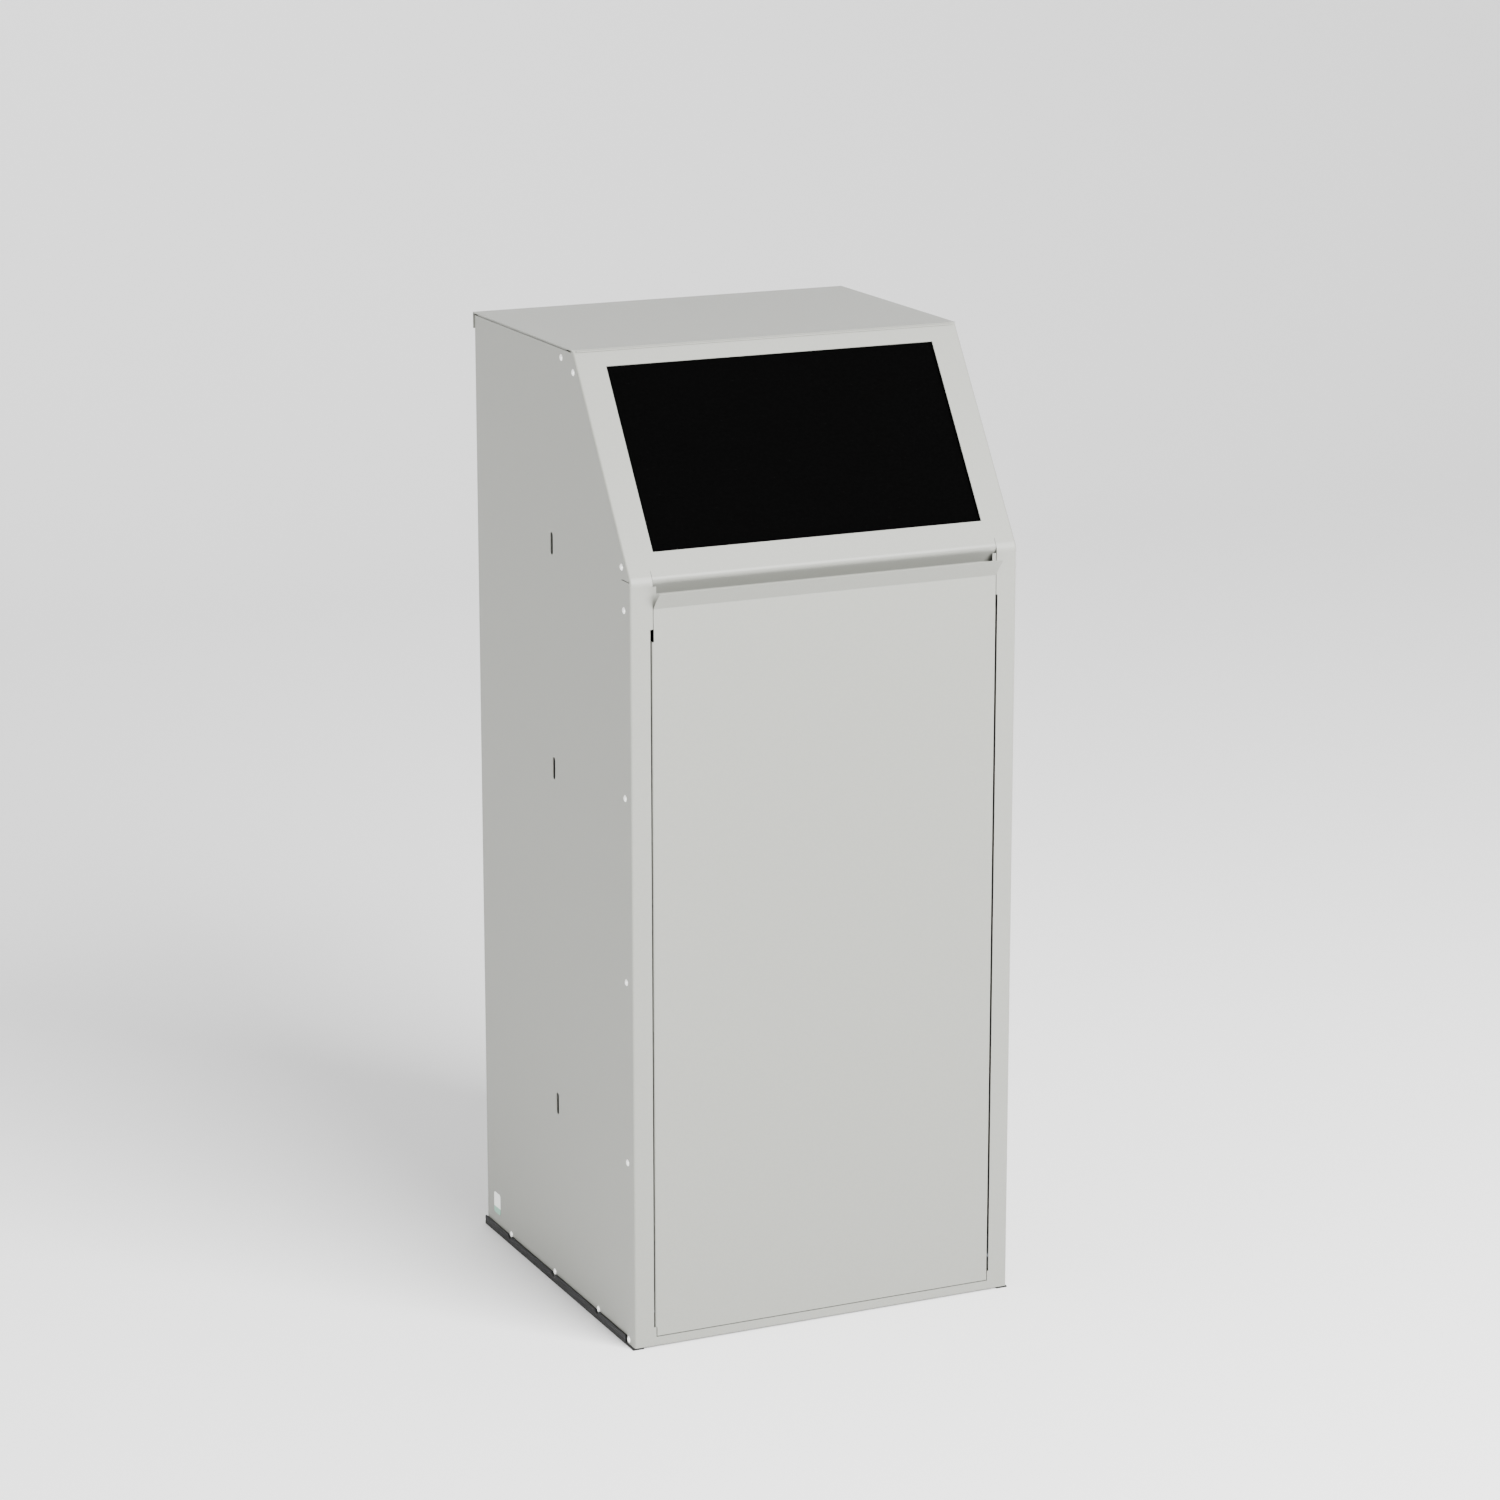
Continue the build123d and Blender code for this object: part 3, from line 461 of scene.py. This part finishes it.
@dataclass
class FlapSpring:
    """Torsion spring on the flap's rod: one leg goes with the flap, the other stays on the frame.

    Attributes:
        side: "left" or "right".
        radius: Radius of the coil, to the middle of the wire.
        wire: Radius of the wire.
        turns: Number of turns.
        pitch: Advance per turn.
        flap_leg: Length of the leg on the flap.
        frame_leg: Length of the leg on the frame.
        per_turn: Stations in each turn.
        around: Points round the wire.
    """

    side: str
    radius: float = 5.2
    wire: float = 0.8
    turns: int = 7
    pitch: float = 2.1
    flap_leg: float = 22.0
    frame_leg: float = 10.0
    per_turn: int = 40
    around: int = 16

    def axis(self) -> np.ndarray:
        """Y and z of the rod's axis, in millimetres."""
        low, high = node_box("flap_rod")
        return (low + high)[1:] / 2

    def root_angle(self) -> float:
        """Works out how far the coil is turned on the rod, from the tip of the CAD node's longer leg.

        Returns:
            Angle of the tangent at the coil's first point, in the YZ plane.
        """
        flat = node_points(f"flap_spring_{self.side}")[:, 1:] - self.axis()
        tip = flat[np.hypot(*flat.T) > self.flap_leg - self.wire / 2].mean(0)
        return math.atan2(tip[1], tip[0]) - math.atan2(-self.radius, -self.flap_leg)

    def rings(self) -> np.ndarray:
        """Works out the wire's cross-sections along leg, coil and leg.

        The coil's middle line is a helix about X: y = R sin(a), z = -R cos(a), x = pitch a / 2 pi. Each leg
        runs on along the helix's end tangent. A ring is a circle across the tangent.

        Returns:
            Array of stations by points by 3, before it is turned and moved onto the rod.
        """
        turn = np.linspace(0, 2 * math.pi * self.turns, self.turns * self.per_turn + 1)
        turn = np.concatenate([[0], turn, turn[-1:]])
        run = np.zeros_like(turn)
        run[0], run[-1] = -self.flap_leg, self.frame_leg
        climb = self.pitch / (2 * math.pi)
        rise = np.full_like(turn, climb)
        tangent = np.stack([rise, self.radius * np.cos(turn), self.radius * np.sin(turn)], -1)
        tangent /= math.hypot(climb, self.radius)
        outward = np.stack([np.zeros_like(turn), np.sin(turn), -np.cos(turn)], -1)
        middle = self.radius * outward + run[:, None] * tangent
        middle[:, 0] += climb * turn
        sideways = np.cross(tangent, outward)
        angle = np.linspace(0, 2 * math.pi, self.around, endpoint=False)[None, :, None]
        across = np.cos(angle) * outward[:, None] + np.sin(angle) * sideways[:, None]
        return middle[:, None] + self.wire * across

    def build(self, material: bpy.types.Material) -> None:
        """Makes the spring, turned on the rod to the CAD node's pose, and hides that node."""
        sign = 1 if self.side == "right" else -1
        low, high = node_box(f"flap_spring_{self.side}")
        far = max(abs(low[0]), abs(high[0]))
        lean = math.atan2(self.pitch, 2 * math.pi * self.radius)
        coil_end = far - self.frame_leg * math.sin(lean) - self.wire * math.cos(lean)
        start = coil_end - self.turns * self.pitch
        points, faces = loft(self.rings())
        angle = self.root_angle()
        cos, sin = math.cos(angle), math.sin(angle)
        y = points[:, 1] * cos - points[:, 2] * sin + self.axis()[0]
        z = points[:, 1] * sin + points[:, 2] * cos + self.axis()[1]
        piece = mesh_piece(f"spring_{self.side}", np.stack([sign * (start + points[:, 0]), y, z], -1), faces)
        piece.data.materials.append(material)
        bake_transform(piece)
        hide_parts(f"flap_spring_{self.side}")
        log.info("%s: %d faces, twists between flap and cabinet", piece.name, len(piece.data.polygons))


@dataclass
class BlankLabel:
    """Thin label with rounded corners, low on the left wall.

    Attributes:
        corner: Radius of its corners.
        per_corner: Points round each corner.
    """

    corner: float = 3.0
    per_corner: int = 8

    def outline(self, low: np.ndarray, high: np.ndarray) -> np.ndarray:
        """Works out the outline: a rectangle whose corners are quarter circles.

        Args:
            low: Lowest y and z.
            high: Highest y and z.

        Returns:
            Array of points by 2.
        """
        middle, reach = (low + high) / 2, (high - low) / 2 - self.corner
        turn = np.linspace(0, math.pi / 2, self.per_corner)
        turns = (turn[None, :] + np.arange(4)[:, None] * math.pi / 2).ravel()
        signs = np.repeat(np.array([[1, 1], [-1, 1], [-1, -1], [1, -1]]), self.per_corner, 0)
        return middle + signs * reach + self.corner * np.stack([np.cos(turns), np.sin(turns)], -1)

    def build(self, material: bpy.types.Material) -> None:
        """Makes the label with a UV map that runs from 0 to 1 up its height."""
        low, high = node_box("blank_label")
        outline = self.outline(low[1:], high[1:])
        rings = np.stack([np.column_stack([np.full(len(outline), x), outline]) for x in (high[0], low[0])])
        piece = mesh_piece("label", *loft(rings), smooth=False)
        uv = piece.data.uv_layers.new(name="label").data
        corners = np.empty(len(piece.data.loops), np.int32)
        piece.data.loops.foreach_get("vertex_index", corners)
        points = np.empty(len(piece.data.vertices) * 3, np.float32)
        piece.data.vertices.foreach_get("co", points)
        flat = points.reshape(-1, 3)[corners][:, 1:] / MM
        uv.foreach_set("uv", ((flat - low[1:]) / (high - low)[1:]).astype(np.float32).ravel())
        finish_piece(piece, material, "cabinet", "label", "blank_label")


@dataclass(frozen=True)
class Lamp:
    """A square soft light, in metres and watts.

    Attributes:
        name: Light name.
        place: Where it hangs.
        aim: Point it faces.
        power: Watts.
        size: Length of its side.
    """

    name: str
    place: tuple[float, float, float]
    aim: tuple[float, float, float]
    power: float
    size: float

    def build(self) -> None:
        """Hangs the light."""
        data = bpy.data.lights.new(self.name, "AREA")
        data.energy, data.size = self.power, self.size
        lamp = bpy.data.objects.new(self.name, data)
        lamp.location = self.place
        lamp.rotation_euler = (Vector(self.aim) - Vector(self.place)).to_track_quat("-Z", "Y").to_euler()
        bpy.context.scene.collection.objects.link(lamp)


# High frontal key from the right.
KEY = Lamp("key", (1.0, -3.2, 2.6), (0, 0, 1.35), 600, 2.6)
# Low, weaker fill from the left, which lights the side wall's foot.
FILL = Lamp("fill", (-3.0, -0.2, 0.1), (-0.2, 0, 0.1), 95, 1.8)


@dataclass
class Stage:
    """Floor, backdrop, lights and camera.

    Attributes:
        reach: How far the floor runs in front of and beside the cabinet, in metres.
        bend: Radius of the sweep from floor to backdrop.
        behind: Where the sweep begins, behind the cabinet.
        height: Height of the backdrop.
        bend_steps: Points along the sweep.
        paper: sRGB colour of the floor and the surround.
        paper_roughness: Roughness of the floor's paper.
        surround: Strength of the surround.
        camera: Place of the camera, in metres.
        yaw: Degrees the camera is turned to the cabinet's right.
        pitch: Degrees it looks down.
        lens: Focal length, in millimetres.
        sensor: Width of the sensor, in millimetres.
    """

    reach: float = 9.0
    bend: float = 2.5
    behind: float = 3.0
    height: float = 7.0
    bend_steps: int = 25
    paper: str = "ffffff"
    paper_roughness: float = 0.9
    surround: float = 0.9
    camera: tuple[float, float, float] = (-1.8152, -3.9529, 1.65)
    yaw: float = 24.745
    pitch: float = 14.469
    lens: float = 110.04
    sensor: float = 36.0

    def backdrop(self) -> None:
        """Makes the seamless floor: flat, then a quarter circle, then upright, carried along X."""
        turn = np.linspace(0, math.pi / 2, self.bend_steps)
        y = np.concatenate([[-self.reach], self.behind + self.bend * np.sin(turn), [self.behind + self.bend]])
        z = np.concatenate([[0], self.bend * (1 - np.cos(turn)), [self.height]])
        x = np.array([-self.reach, 0, self.reach])
        grid = np.stack(np.broadcast_arrays(x[:, None], y[None, :], z[None, :]), -1)
        data = bpy.data.meshes.new("floor")
        across = len(y)
        first = (np.arange(len(x) - 1)[:, None] * across + np.arange(across - 1)[None, :]).ravel()
        quads = np.stack([first, first + across, first + across + 1, first + 1], -1)
        data.from_pydata(grid.reshape(-1, 3).tolist(), [], quads.tolist())
        data.polygons.foreach_set("use_smooth", np.full(len(data.polygons), True))
        floor = bpy.data.objects.new("floor", data)
        bpy.context.scene.collection.objects.link(floor)
        made = bpy.data.materials.new("floor_paper")
        made.use_nodes = True
        shader = made.node_tree.nodes["Principled BSDF"]
        shader.inputs["Base Color"].default_value = srgb(self.paper)
        shader.inputs["Roughness"].default_value = self.paper_roughness
        data.materials.append(made)

    def light(self) -> None:
        """Hangs the key and the fill and sets a pale surround."""
        KEY.build()
        FILL.build()
        world = bpy.data.worlds.new("surround")
        world.use_nodes = True
        world.node_tree.nodes["Background"].inputs["Color"].default_value = srgb(self.paper)
        world.node_tree.nodes["Background"].inputs["Strength"].default_value = self.surround
        bpy.context.scene.world = world

    def shoot(self) -> None:
        """Places the camera."""
        data = bpy.data.cameras.new("camera")
        data.lens, data.sensor_width = self.lens, self.sensor
        view = bpy.data.objects.new("camera", data)
        view.location = self.camera
        view.rotation_euler = (math.radians(90 - self.pitch), 0, -math.radians(self.yaw))
        bpy.context.scene.collection.objects.link(view)
        bpy.context.scene.camera = view

    def build(self) -> None:
        """Makes floor, lights and camera."""
        self.backdrop()
        self.light()
        self.shoot()


def main() -> None:
    """Builds the looks piece by piece."""
    logging.basicConfig(level=logging.INFO, format="%(name)s %(message)s")
    materials = {finish.slot: finish.build() for finish in FINISHES}
    CadDress(materials).build()
    for side in ("left", "right"):
        EdgeTrim(side).build(materials["rubber"])
        FlapSpring(side).build(materials["spring_steel"])
    BlankLabel().build(LabelFinish().build())
    Stage().build()


if __name__ == "__main__":
    main()
